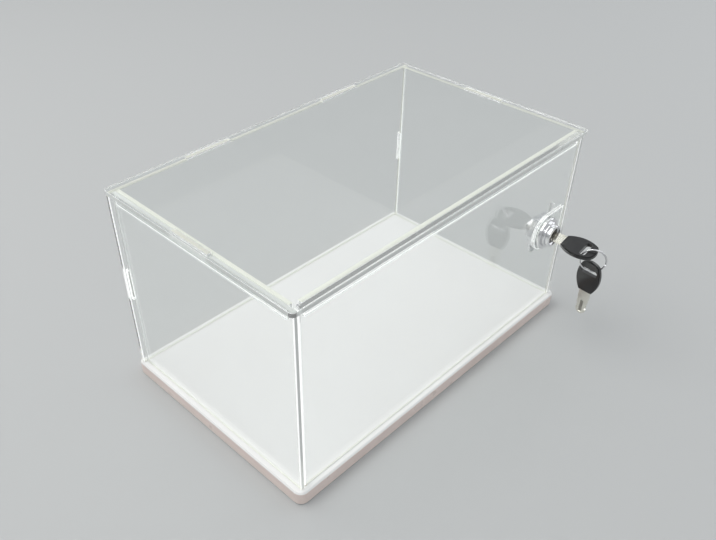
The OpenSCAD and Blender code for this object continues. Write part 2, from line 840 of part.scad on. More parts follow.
// The bow's outline: two wide flanks, a domed end with the slot and a flat end at the shoulder
module bow_shape(inset) {
    intersection() {
        for_flanks(inset);
        translate([0, bow_dome_r - bow_l / 2])
            union() {
                circle(r = bow_dome_r - inset, $fn = round_fn);
                translate([-bow_w, 0])
                    square([2 * bow_w, bow_l - bow_dome_r - inset]);
            }
    }
}

// The two flank arcs that cross to a pointed oval
module for_flanks(inset) {
    intersection() {
        translate([bow_flank_r - bow_w / 2, 0])
            circle(r = bow_flank_r - inset, $fn = round_fn);
        translate([bow_w / 2 - bow_flank_r, 0])
            circle(r = bow_flank_r - inset, $fn = round_fn);
    }
}

module key_blade() {
    color("silver")
    key_in_lock()
        key_metal();
}

module key_bow() {
    color([0.1, 0.1, 0.1])
    key_in_lock()
        key_grip();
}

// Wire ring with a narrow gap where its ends meet
module key_ring() {
    color("silver")
    translate([ring_x, ring_y, ring_z])
        rotate([0, 0, ring_angle])
            rotate([90, 0, 0])
                rotate([0, 0, ring_gap_place])
                    rotate_extrude(angle = 360 - ring_gap_angle, $fn = round_fn)
                        translate([ring_r, 0])
                            circle(d = ring_wire, $fn = small_fn);
}

module spare_key_blade() {
    color("silver")
    key_on_ring()
        key_metal();
}

module spare_key_bow() {
    color([0.1, 0.1, 0.1])
    key_on_ring()
        key_grip();
}

base_board();
top_panel();
back_panel();
left_panel();
right_panel();
front_door();
front_top_strip();
left_top_strip();
door_pivot_pins();
pivot_washer();
lock_plate();
lock_body();
lock_washer();
lock_nut();
lock_plug();
wafers();
wafer_springs();
turn_stop();
cam();
cam_washer();
cam_screw();
key_blade();
key_bow();
key_ring();
spare_key_blade();
spare_key_bow();
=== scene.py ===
"""Looks of a clear display case with a pivoted door, a cam lock and two ringed keys.

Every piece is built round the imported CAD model, in metres and in its frame: +X towards the lock,
-Y out of the door, +Z up, with the origin under the middle of the base board.
"""

import logging
import math
from dataclasses import dataclass, field
from enum import Enum
from typing import ClassVar, Optional, Sequence

import bmesh
import bpy
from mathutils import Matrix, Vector


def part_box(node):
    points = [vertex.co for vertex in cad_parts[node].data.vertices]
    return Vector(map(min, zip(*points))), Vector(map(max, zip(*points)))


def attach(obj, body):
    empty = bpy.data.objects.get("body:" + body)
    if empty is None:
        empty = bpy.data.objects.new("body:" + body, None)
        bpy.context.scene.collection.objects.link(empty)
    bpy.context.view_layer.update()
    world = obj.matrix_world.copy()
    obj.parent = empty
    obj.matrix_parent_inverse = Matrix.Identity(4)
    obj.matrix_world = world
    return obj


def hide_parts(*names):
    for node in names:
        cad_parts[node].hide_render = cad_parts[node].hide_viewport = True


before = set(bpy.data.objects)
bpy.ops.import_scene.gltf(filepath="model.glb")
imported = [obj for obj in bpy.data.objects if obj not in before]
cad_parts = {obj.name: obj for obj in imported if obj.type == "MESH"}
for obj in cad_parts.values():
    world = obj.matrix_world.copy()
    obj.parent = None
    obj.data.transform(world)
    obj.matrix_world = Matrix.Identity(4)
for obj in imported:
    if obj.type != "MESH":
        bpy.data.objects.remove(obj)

LOG = logging.getLogger("scene")
MM = 0.001

# Linear red, green and blue
Colour = tuple[float, float, float]
# A place in metres
Place = tuple[float, float, float]


class Body(str, Enum):
    """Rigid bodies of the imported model."""

    CASE = "case"
    DOOR = "door"
    PLUG = "plug"
    WAFERS = "wafers"
    KEY = "key"
    RING = "ring"
    SPARE = "spare"


class Slot(str, Enum):
    """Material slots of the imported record."""

    WHITE_BOARD = "white_board"
    CLEAR_SHEET = "clear_sheet"
    LOCK_CHROME = "lock_chrome"
    ZINC_PLATE = "zinc_plate"
    KEY_NICKEL = "key_nickel"
    BOW_BLACK = "bow_black"


class Axis(int, Enum):
    """The three axes, one of which is the way that a flat sheet is thin."""

    X = 0
    Y = 1
    Z = 2


class Edge(Enum):
    """The way that a cut edge faces, as an axis and a sign."""

    LEFT = (0, -1)
    RIGHT = (0, 1)
    FRONT = (1, -1)
    BACK = (1, 1)
    DOWN = (2, -1)
    UP = (2, 1)


class Zone(int, Enum):
    """The parts of a sheet's surface, in the order of its material slots."""

    FACE = 0
    POLISHED_EDGE = 1
    SAWN_EDGE = 2
    CORNER = 3
    PALE_EDGE = 4


# Node groups


def start_group(
    name: str, inputs: Sequence[tuple[str, str, float]], outputs: Sequence[tuple[str, str]]
) -> tuple[bpy.types.NodeTree, bpy.types.Node, bpy.types.Node]:
    """Makes an empty shader node group.

    Args:
        name: The group's name.
        inputs: Name, socket type and default of each input.
        outputs: Name and socket type of each output.

    Returns:
        The node tree, its input node and its output node.
    """
    tree = bpy.data.node_groups.new(name, "ShaderNodeTree")
    for label, kind, value in inputs:
        socket = tree.interface.new_socket(name=label, in_out="INPUT", socket_type=kind)
        if kind == "NodeSocketFloat":
            socket.default_value = value
    for label, kind in outputs:
        tree.interface.new_socket(name=label, in_out="OUTPUT", socket_type=kind)
    return tree, tree.nodes.new("NodeGroupInput"), tree.nodes.new("NodeGroupOutput")


@dataclass(frozen=True)
class PatchAndGrain:
    """Slow patches with fine grain: a mask for colour and roughness, and a height for bump.

    Args:
        patch_scale: How many patches fit in a metre, unless a finish says otherwise.
        grain_scale: How many grains fit in a metre, unless a finish says otherwise.
        patch_detail: Levels of finer noise in the patches.
        patch_roughness: Strength of those levels.
        grain_detail: Levels of finer noise in the grain.
        low: Noise value at which the mask starts.
        high: Noise value at which the mask is full.
    """

    patch_scale: float = 40.0
    grain_scale: float = 900.0
    patch_detail: float = 5.0
    patch_roughness: float = 0.6
    grain_detail: float = 3.0
    low: float = 0.36
    high: float = 0.66

    def build(self) -> bpy.types.NodeTree:
        """Builds the node group.

        Returns:
            The node group.
        """
        tree, gin, gout = start_group(
            "PatchAndGrain",
            [("Patch Scale", "NodeSocketFloat", self.patch_scale),
             ("Grain Scale", "NodeSocketFloat", self.grain_scale)],
            [("Mask", "NodeSocketFloat"), ("Height", "NodeSocketFloat")],
        )
        n, link = tree.nodes, tree.links
        coord = n.new("ShaderNodeTexCoord")
        patch = n.new("ShaderNodeTexNoise")
        patch.inputs["Detail"].default_value = self.patch_detail
        patch.inputs["Roughness"].default_value = self.patch_roughness
        grain = n.new("ShaderNodeTexNoise")
        grain.inputs["Detail"].default_value = self.grain_detail
        ramp = n.new("ShaderNodeMapRange")
        ramp.inputs["From Min"].default_value = self.low
        ramp.inputs["From Max"].default_value = self.high
        link.new(coord.outputs["Object"], patch.inputs["Vector"])
        link.new(coord.outputs["Object"], grain.inputs["Vector"])
        link.new(gin.outputs["Patch Scale"], patch.inputs["Scale"])
        link.new(gin.outputs["Grain Scale"], grain.inputs["Scale"])
        link.new(patch.outputs["Fac"], ramp.inputs["Value"])
        link.new(ramp.outputs["Result"], gout.inputs["Mask"])
        link.new(grain.outputs["Fac"], gout.inputs["Height"])
        return tree


@dataclass(frozen=True)
class CutStriae:
    """Fine parallel lines of a cut, running across the sheet's thickness.

    Args:
        scale: How many lines fit in a metre.
        detail: Levels of finer noise in the lines.
        broad_scale: How many slow patches fit in a metre.
        broad_detail: Levels of finer noise in the patches.
    """

    scale: float = 1400.0
    detail: float = 4.0
    broad_scale: float = 60.0
    broad_detail: float = 2.0

    def build(self) -> bpy.types.NodeTree:
        """Builds the node group.

        Returns:
            The node group, whose height is long along Stretch's small axis.
        """
        tree, gin, gout = start_group(
            "CutStriae",
            [("Stretch", "NodeSocketVector", 0.0), ("Scale", "NodeSocketFloat", self.scale)],
            [("Height", "NodeSocketFloat"), ("Mask", "NodeSocketFloat")],
        )
        n, link = tree.nodes, tree.links
        coord = n.new("ShaderNodeTexCoord")
        stretch = n.new("ShaderNodeVectorMath")
        stretch.operation = "MULTIPLY"
        fine = n.new("ShaderNodeTexNoise")
        fine.inputs["Detail"].default_value = self.detail
        broad = n.new("ShaderNodeTexNoise")
        broad.inputs["Scale"].default_value = self.broad_scale
        broad.inputs["Detail"].default_value = self.broad_detail
        link.new(coord.outputs["Object"], stretch.inputs[0])
        link.new(gin.outputs["Stretch"], stretch.inputs[1])
        link.new(stretch.outputs["Vector"], fine.inputs["Vector"])
        link.new(stretch.outputs["Vector"], broad.inputs["Vector"])
        link.new(gin.outputs["Scale"], fine.inputs["Scale"])
        link.new(fine.outputs["Fac"], gout.inputs["Height"])
        link.new(broad.outputs["Fac"], gout.inputs["Mask"])
        return tree


@dataclass
class Effects:
    """The node groups that more than one finish uses, built once.

    Args:
        patch: Patches and grain, for the opaque finishes and the clear faces.
        striae: The lines of a cut, for the cut edges.
    """

    patch: bpy.types.NodeTree = field(default_factory=PatchAndGrain().build)
    striae: bpy.types.NodeTree = field(default_factory=CutStriae().build)


# Finishes


def start_material(name: str) -> tuple[bpy.types.Material, bpy.types.Node, bpy.types.Node]:
    """Makes a material with one Principled shader.

    Args:
        name: The material's name.

    Returns:
        The material, its Principled node and its output node.
    """
    mat = bpy.data.materials.new(name)
    mat.use_nodes = True
    nodes = mat.node_tree.nodes
    nodes.clear()
    shader = nodes.new("ShaderNodeBsdfPrincipled")
    output = nodes.new("ShaderNodeOutputMaterial")
    mat.node_tree.links.new(shader.outputs["BSDF"], output.inputs["Surface"])
    return mat, shader, output


@dataclass(frozen=True)
class OpaqueFinish:
    """A plain opaque finish.

    Args:
        name: The material's name.
        colour: Linear base colour.
        second: Linear colour that the base colour drifts to in patches.
        metallic: Share of metal, 0 or 1.
        rough_low: Roughness of the smoothest patches.
        rough_high: Roughness of the dullest patches.
        patch_scale: How many patches fit in a metre.
        grain_scale: How many grains of the fine bump fit in a metre.
        grain_mm: Depth of the fine bump, in millimetres.
        coat: Weight of a clear coat.
        coat_roughness: Roughness of that coat.
        specular: Strength of the plain gloss.
    """

    name: str
    colour: Colour
    second: Colour
    metallic: float = 0.0
    rough_low: float = 0.3
    rough_high: float = 0.45
    patch_scale: float = 40.0
    grain_scale: float = 900.0
    grain_mm: float = 0.004
    coat: float = 0.0
    coat_roughness: float = 0.05
    specular: float = 0.5

    def build(self, effects: Effects) -> bpy.types.Material:
        """Builds the material.

        Args:
            effects: The shared node groups.

        Returns:
            The material.
        """
        mat, shader, _ = start_material(self.name)
        n, link = mat.node_tree.nodes, mat.node_tree.links
        group = n.new("ShaderNodeGroup")
        group.node_tree = effects.patch
        group.inputs["Patch Scale"].default_value = self.patch_scale
        group.inputs["Grain Scale"].default_value = self.grain_scale
        mix = n.new("ShaderNodeMix")
        mix.data_type = "RGBA"
        mix.inputs["A"].default_value = (*self.colour, 1.0)
        mix.inputs["B"].default_value = (*self.second, 1.0)
        rough = n.new("ShaderNodeMapRange")
        rough.inputs["To Min"].default_value = self.rough_low
        rough.inputs["To Max"].default_value = self.rough_high
        bump = n.new("ShaderNodeBump")
        bump.inputs["Strength"].default_value = 1.0
        bump.inputs["Distance"].default_value = self.grain_mm * MM
        link.new(group.outputs["Mask"], mix.inputs["Factor"])
        link.new(group.outputs["Mask"], rough.inputs["Value"])
        link.new(group.outputs["Height"], bump.inputs["Height"])
        link.new(mix.outputs["Result"], shader.inputs["Base Color"])
        link.new(rough.outputs["Result"], shader.inputs["Roughness"])
        link.new(bump.outputs["Normal"], shader.inputs["Normal"])
        shader.inputs["Metallic"].default_value = self.metallic
        shader.inputs["Specular IOR Level"].default_value = self.specular
        shader.inputs["Coat Weight"].default_value = self.coat
        shader.inputs["Coat Roughness"].default_value = self.coat_roughness
        return mat


@dataclass(frozen=True)
class ClearFaceFinish:
    """The polished face of a cast sheet, which lamps shine through.

    Args:
        name: The material's name.
        tint: Linear colour of the light that passes.
        roughness: Roughness of the dullest patches.
        ior: Index of refraction.
        patch_scale: How many patches of handling haze fit in a metre.
        shadow_tint: Share of the tint in the light that goes straight through.
    """

    name: str
    tint: Colour
    roughness: float
    ior: float = 1.49
    patch_scale: float = 26.0
    shadow_tint: float = 0.5

    def build(self, effects: Effects) -> bpy.types.Material:
        """Builds the material.

        Args:
            effects: The shared node groups.

        Returns:
            The material.
        """
        mat, shader, output = start_material(self.name)
        n, link = mat.node_tree.nodes, mat.node_tree.links
        shader.inputs["Base Color"].default_value = (*self.tint, 1.0)
        shader.inputs["IOR"].default_value = self.ior
        shader.inputs["Transmission Weight"].default_value = 1.0
        group = n.new("ShaderNodeGroup")
        group.node_tree = effects.patch
        group.inputs["Patch Scale"].default_value = self.patch_scale
        rough = n.new("ShaderNodeMapRange")
        rough.inputs["To Min"].default_value = 0.0
        rough.inputs["To Max"].default_value = self.roughness
        clear = n.new("ShaderNodeBsdfTransparent")
        through = [1.0 - self.shadow_tint * (1.0 - c) for c in self.tint]
        clear.inputs["Color"].default_value = (*through, 1.0)
        path = n.new("ShaderNodeLightPath")
        either = n.new("ShaderNodeMath")
        either.operation = "MAXIMUM"
        mix = n.new("ShaderNodeMixShader")
        link.new(group.outputs["Mask"], rough.inputs["Value"])
        link.new(rough.outputs["Result"], shader.inputs["Roughness"])
        link.new(path.outputs["Is Shadow Ray"], either.inputs[0])
        link.new(path.outputs["Is Diffuse Ray"], either.inputs[1])
        link.new(either.outputs["Value"], mix.inputs["Fac"])
        link.new(shader.outputs["BSDF"], mix.inputs[1])
        link.new(clear.outputs["BSDF"], mix.inputs[2])
        link.new(mix.outputs["Shader"], output.inputs["Surface"])
        return mat


@dataclass(frozen=True)
class CutEdgeFinish:
    """A cut edge of a cast sheet, with a painted emission that stands in for the light that it
    gathers.

    Args:
        name: The material's name.
        tint: Linear colour of the edge.
        roughness: Middle roughness.
        transmission: Share of light that passes.
        painted_glow: Strength of the painted emission in the edge's tint, which stands in for
            gathered light.
        thin: The axis along which the sheet is thin, which the cut's lines follow.
        bump_mm: Depth of the cut's lines, in millimetres.
        ior: Index of refraction.
        stretch: How much the lines are drawn out along the thickness, as a share.
        rough_spread: Share by which the roughness drifts either way.
        bump_strength: Strength of the lines' bump.
    """

    name: str
    tint: Colour
    roughness: float
    transmission: float
    painted_glow: float
    thin: Axis
    bump_mm: float = 0.01
    ior: float = 1.49
    stretch: float = 0.02
    rough_spread: float = 0.2
    bump_strength: float = 0.5

    def build(self, effects: Effects) -> bpy.types.Material:
        """Builds the material.

        Args:
            effects: The shared node groups.

        Returns:
            The material.
        """
        mat, shader, _ = start_material(self.name)
        n, link = mat.node_tree.nodes, mat.node_tree.links
        shader.inputs["Base Color"].default_value = (*self.tint, 1.0)
        shader.inputs["IOR"].default_value = self.ior
        shader.inputs["Transmission Weight"].default_value = self.transmission
        # Painted light: the edge emits its own tint, though it is no lamp.
        shader.inputs["Emission Color"].default_value = (*self.tint, 1.0)
        shader.inputs["Emission Strength"].default_value = self.painted_glow
        group = n.new("ShaderNodeGroup")
        group.node_tree = effects.striae
        stretches = [self.stretch if axis == self.thin else 1.0 for axis in Axis]
        group.inputs["Stretch"].default_value = stretches
        rough = n.new("ShaderNodeMapRange")
        rough.inputs["To Min"].default_value = self.roughness * (1.0 - self.rough_spread)
        rough.inputs["To Max"].default_value = self.roughness * (1.0 + self.rough_spread)
        bump = n.new("ShaderNodeBump")
        bump.inputs["Strength"].default_value = self.bump_strength
        bump.inputs["Distance"].default_value = self.bump_mm * MM
        link.new(group.outputs["Mask"], rough.inputs["Value"])
        link.new(rough.outputs["Result"], shader.inputs["Roughness"])
        link.new(group.outputs["Height"], bump.inputs["Height"])
        link.new(bump.outputs["Normal"], shader.inputs["Normal"])
        return mat


class Look(Enum):
    """The finishes of the opaque pieces."""

    WHITE_GLOSS = OpaqueFinish(
        "white_gloss", (0.87, 0.868, 0.86), (0.86, 0.855, 0.845),
        rough_low=0.18, rough_high=0.24, patch_scale=14.0,
        grain_scale=500.0, grain_mm=0.0015, coat=0.15, coat_roughness=0.08)
    # Upright sides: a warm tint as the board edge's own colour, darkened below the top's white as
    # painted shade.
    WHITE_SIDE = OpaqueFinish(
        "white_side", (0.84, 0.72, 0.67), (0.80, 0.68, 0.63),
        rough_low=0.26, rough_high=0.34, patch_scale=30.0,
        grain_scale=700.0, grain_mm=0.003)
    # Plug: zinc darkened to near black, painted shade standing in for the shadow in the lock's
    # mouth.
    DARK_ZINC = OpaqueFinish(
        "dark_zinc", (0.16, 0.155, 0.15), (0.11, 0.105, 0.10),
        metallic=1.0, rough_low=0.35, rough_high=0.5, patch_scale=260.0,
        grain_scale=3000.0, grain_mm=0.002)
    CHROME = OpaqueFinish(
        "chrome", (0.84, 0.84, 0.85), (0.78, 0.78, 0.79),
        metallic=1.0, rough_low=0.06, rough_high=0.13, patch_scale=160.0,
        grain_scale=2600.0, grain_mm=0.0005)
    ZINC = OpaqueFinish(
        "zinc", (0.66, 0.67, 0.68), (0.52, 0.53, 0.55),
        metallic=1.0, rough_low=0.24, rough_high=0.4, patch_scale=260.0,
        grain_scale=3000.0, grain_mm=0.002)
    STEEL = OpaqueFinish(
        "steel", (0.82, 0.82, 0.83), (0.7, 0.7, 0.71),
        metallic=1.0, rough_low=0.1, rough_high=0.2, patch_scale=300.0,
        grain_scale=4000.0, grain_mm=0.0006)
    NICKEL = OpaqueFinish(
        "nickel", (0.88, 0.86, 0.79), (0.85, 0.83, 0.75),
        metallic=1.0, rough_low=0.17, rough_high=0.2, patch_scale=30.0,
        grain_scale=1200.0, grain_mm=0.00001)
    # Groove floors: rougher milled metal, darkened below the nickel as painted shade in the recess.
    MILLED = OpaqueFinish(
        "milled_nickel_painted_shade", (0.42, 0.41, 0.37), (0.34, 0.33, 0.30),
        metallic=1.0, rough_low=0.35, rough_high=0.5, patch_scale=300.0,
        grain_scale=2400.0, grain_mm=0.001)
    BRASS = OpaqueFinish(
        "brass", (0.62, 0.44, 0.16), (0.48, 0.33, 0.11),
        metallic=1.0, rough_low=0.25, rough_high=0.4, patch_scale=400.0,
        grain_scale=4000.0, grain_mm=0.001)
    NYLON = OpaqueFinish(
        "nylon", (0.74, 0.71, 0.62), (0.68, 0.64, 0.55),
        rough_low=0.4, rough_high=0.55, patch_scale=300.0,
        grain_scale=2000.0, grain_mm=0.004)
    BLACK = OpaqueFinish(
        "bow_black", (0.004, 0.004, 0.005), (0.007, 0.007, 0.007),
        rough_low=0.3, rough_high=0.42, patch_scale=180.0,
        grain_scale=2400.0, grain_mm=0.003, coat=1.0, coat_roughness=0.04, specular=0.3)


@dataclass
class Wardrobe:
    """Builds each material once and keeps it.

    Args:
        effects: The shared node groups.
        made: The materials built so far, by name.
    """

    effects: Effects = field(default_factory=Effects)
    made: dict[str, bpy.types.Material] = field(default_factory=dict)

    def wear(self, finish: OpaqueFinish | ClearFaceFinish | CutEdgeFinish) -> bpy.types.Material:
        """Gives the material of a finish.

        Args:
            finish: Which finish.

        Returns:
            The material.
        """
        if finish.name not in self.made:
            self.made[finish.name] = finish.build(self.effects)
        return self.made[finish.name]


# Meshes

# Corners nearer than this, in metres, are one corner
WELD = 1e-6
# Corners nearer than this to a cut, in metres, are on it
ON_CUT = 1e-7
# Faces that turn less than this many degrees are one flat face
FLAT_DEG = 0.6
# Least share of a normal along an axis for a face that looks straight that way
STRAIGHT = 0.9999
# The same for a face that looks about that way
ABOUT = 0.9
# Profile of a round easing
ROUND = 0.5
# How much a face's area counts in its corners' normals, in per cent
AREA_WEIGHT = 100


def clean_copy(node: str) -> bmesh.types.BMesh:
    """Copies a CAD node's mesh with its split corners welded and its flat areas merged.

    Args:
        node: The CAD node's name.

    Returns:
        A new bmesh, in metres.
    """
    bm = bmesh.new()
    bm.from_mesh(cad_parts[node].data)
    bmesh.ops.remove_doubles(bm, verts=bm.verts, dist=WELD)
    bmesh.ops.dissolve_limit(bm, angle_limit=math.radians(FLAT_DEG), verts=bm.verts, edges=bm.edges,
                             delimit={"NORMAL"})
    return bm


def ease_edges(bm: bmesh.types.BMesh, width: float, segments: int, angle: float = 30.0) -> None:
    """Rounds every edge that is sharper than an angle.

    Args:
        bm: The mesh to change.
        width: Width of the rounding, in metres.
        segments: Number of faces across the rounding.
        angle: The least angle between faces, in degrees.
    """
    sharp = [e for e in bm.edges if e.is_manifold and e.calc_face_angle(0.0) > math.radians(angle)]
    if sharp:
        bmesh.ops.bevel(bm, geom=sharp, offset=width, offset_type="OFFSET", segments=segments,
                        profile=ROUND, affect="EDGES", clamp_overlap=True)


@dataclass(frozen=True)
class Groove:
    """A straight groove along the middle of each broad face of a key's blade.

    Args:
        wide_mm: Its width, in millimetres.
        deep_mm: Its depth, in millimetres.
        margin_mm: How far it keeps from the shoulder and from the tip, in millimetres.
        slope: Run of its walls, as a share of its depth.
        shoulder: Least half width of the shoulder, as a share of the blade's widest half width.
        floor: Share of the depth below which a face is the groove's floor.
        end_corners: How many corners lie farthest from the middle, two in each broad face.
    """

    wide_mm: float = 2.6
    deep_mm: float = 0.45
    margin_mm: float = 1.4
    slope: float = 0.6
    shoulder: float = 0.95
    floor: float = 0.8
    end_corners: int = 4

    def mill(self, bm: bmesh.types.BMesh) -> None:
        """Mills the groove into both broad faces.

        Args:
            bm: The blade's mesh, which is changed.
        """
        normal = max(bm.faces, key=lambda f: f.calc_area()).normal.copy()
        centre = sum((v.co for v in bm.verts), Vector()) / len(bm.verts)
        along, across, low, high = self.lay_out(bm, normal, centre)
        half = self.wide_mm * MM / 2
        for way, place in ((along, low), (along, high), (across, -half), (across, half)):
            bmesh.ops.bisect_plane(bm, geom=bm.verts[:] + bm.edges[:] + bm.faces[:], dist=ON_CUT,
                                   plane_co=centre + way * place, plane_no=way)
        floor = []
        for f in bm.faces:
            spoke = f.calc_center_median() - centre
            inside = low < spoke.dot(along) < high and abs(spoke.dot(across)) < half
            if inside and abs(f.normal.dot(normal)) > STRAIGHT:
                floor.append(f)
        depth = self.deep_mm * MM
        bmesh.ops.inset_individual(bm, faces=floor, thickness=depth * self.slope, depth=-depth)

    def lay_out(self, bm: bmesh.types.BMesh, normal: Vector,
                centre: Vector) -> tuple[Vector, Vector, float, float]:
        """Finds the blade's directions and the groove's two ends.

        Args:
            bm: The blade's mesh.
            normal: The normal of a broad face.
            centre: The middle of the mesh's corners.

        Returns:
            The directions along and across the blade, and the places of the ends along it.
        """
        spokes = [v.co - centre for v in bm.verts]
        flat = sorted((s - normal * s.dot(normal) for s in spokes), key=lambda s: -s.length)
        along = sum(flat[:self.end_corners], Vector()).normalized()
        across = normal.cross(along)
        widest = max(abs(s.dot(across)) for s in spokes)
        shoulder = [s.dot(along) for s in spokes if abs(s.dot(across)) > widest * self.shoulder]
        ends = [max(s.dot(along) for s in spokes), min(s.dot(along) for s in spokes)]
        tip = max(ends, key=lambda t: min(abs(t - u) for u in shoulder))
        root = min(shoulder, key=lambda u: abs(u - tip))
        margin = math.copysign(self.margin_mm * MM, tip - root)
        low, high = sorted((root + margin, tip - margin))
        return along, across, low, high

    def floor_faces(self, obj: bpy.types.Object) -> list[bpy.types.MeshPolygon]:
        """Finds the faces of the grooves' floors on the finished blade.

        Args:
            obj: The blade.

        Returns:
            The faces.
        """
        verts, polygons = obj.data.vertices, obj.data.polygons
        middle = sum((v.co for v in verts), Vector()) / len(verts)
        broad = max(polygons, key=lambda p: p.area)
        reach = abs((broad.center - middle).dot(broad.normal)) - self.deep_mm * MM * self.floor
        return [p for p in polygons if abs((p.center - middle).dot(broad.normal)) < reach
                and abs(p.normal.dot(broad.normal)) > ABOUT]


def draw_in(bm: bmesh.types.BMesh, gap: float) -> None:
    """Draws a mesh in by a hair on every side, so that no two sheets share a face.

    Args:
        bm: The mesh to change.
        gap: How far each side moves in, in metres.
    """
    low = Vector([min(v.co[axis] for v in bm.verts) for axis in Axis])
    high = Vector([max(v.co[axis] for v in bm.verts) for axis in Axis])
    middle = (low + high) / 2
    half = (high - low) / 2
    for v in bm.verts:
        for axis in Axis:
            v.co[axis] = middle[axis] + (v.co[axis] - middle[axis]) * (1 - gap / half[axis])


def to_object(name: str, bm: bmesh.types.BMesh, smooth_angle: float = 35.0) -> bpy.types.Object:
    """Turns a bmesh into a linked object with smooth curved faces.

    Args:
        name: The object's name.
        bm: The mesh, which is freed.
        smooth_angle: Edges sharper than this many degrees stay sharp.

    Returns:
        The object.
    """
    mesh = bpy.data.meshes.new(name)
    bm.to_mesh(mesh)
    bm.free()
    mesh.polygons.foreach_set("use_smooth", [True] * len(mesh.polygons))
    mesh.set_sharp_from_angle(angle=math.radians(smooth_angle))
    obj = bpy.data.objects.new(name, mesh)
    bpy.context.scene.collection.objects.link(obj)
    return obj


# Sub-assemblies


@dataclass
class SubAssembly:
    """A group of pieces that are made and dressed together.

    Args:
        wardrobe: The materials.
        pieces: What the group has made so far.
    """

    wardrobe: Wardrobe
    pieces: list[bpy.types.Object] = field(default_factory=list)

    def settle(self, obj: bpy.types.Object, body: Body, node: str, slot: Slot) -> bpy.types.Object:
        """Ties a finished piece to its body and hides the CAD node that it stands for.

        Args:
            obj: The piece.
            body: The body that it rides on.
            node: The CAD node that it stands for.
            slot: The record's material slot; not used.

        Returns:
            The same piece.
        """
        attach(obj, body.value)
        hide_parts(node)
        self.pieces.append(obj)
        return obj

    def eased(self, node: str, body: Body, look: Look, slot: Slot, ease_mm: float,
              segments: int = 2, shaped: Optional[bmesh.types.BMesh] = None) -> bpy.types.Object:
        """Rebuilds one opaque CAD node with eased edges.

        Args:
            node: The CAD node.
            body: The body that it rides on.
            look: Its finish.
            slot: Its material slot.
            ease_mm: Width of the easing, in millimetres.
            segments: Number of faces across the easing.
            shaped: A copy of the node's mesh with more detail, where there is one.

        Returns:
            The finished piece.
        """
        bm = shaped or clean_copy(node)
        ease_edges(bm, ease_mm * MM, segments)
        obj = to_object(node + "_part", bm)
        weighted = obj.modifiers.new("even_normals", "WEIGHTED_NORMAL")
        weighted.keep_sharp = True
        weighted.weight = AREA_WEIGHT
        obj.data.materials.append(self.wardrobe.wear(look.value))
        return self.settle(obj, body, node, slot)

    def keep(self, node: str, look: Look) -> None:
        """Keeps a CAD node's own mesh and gives it a finish.

        Args:
            node: The CAD node.
            look: Its finish.
        """
        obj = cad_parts[node]
        obj.data.materials.clear()
        obj.data.materials.append(self.wardrobe.wear(look.value))
        self.pieces.append(obj)

    def build(self) -> None:
        """Makes the group's pieces."""
        raise NotImplementedError


@dataclass
class BaseBoard(SubAssembly):
    """The white board that the case stands on.

    Args:
        ease_mm: Width of the easing of its edges, in millimetres.
        segments: Number of faces across the easing.
        upright: Share of a face's normal along Z below which it is one of the upright sides.
    """

    ease_mm: float = 0.5
    segments: int = 3
    upright: float = 0.35

    def build(self) -> None:
        """Makes the board and gives its upright sides a warmer white, darker than the top as
        painted shade.
        """
        board = self.eased("base_board", Body.CASE, Look.WHITE_GLOSS, Slot.WHITE_BOARD,
                           self.ease_mm, self.segments)
        board.data.materials.append(self.wardrobe.wear(Look.WHITE_SIDE.value))
        for poly in board.data.polygons:
            poly.material_index = int(abs(poly.normal.z) < self.upright)


@dataclass(frozen=True)
class Sheet:
    """One clear sheet.

    Args:
        node: The CAD node.
        body: The body that it rides on.
        thin: The axis along which it is thin.
        sawn: The cut edges that are left as sawn.
        tabs: The cemented edges that look plain, with only their tab ends left as sawn.
        pale: The open edges down which the sheet is seen lengthwise, which look an even pale grey.
        rounded: The zone of its round cut edges.
    """

    node: str
    body: Body
    thin: Axis
    sawn: tuple[Edge, ...] = ()
    tabs: tuple[Edge, ...] = ()
    pale: tuple[Edge, ...] = ()
    rounded: Zone = Zone.POLISHED_EDGE


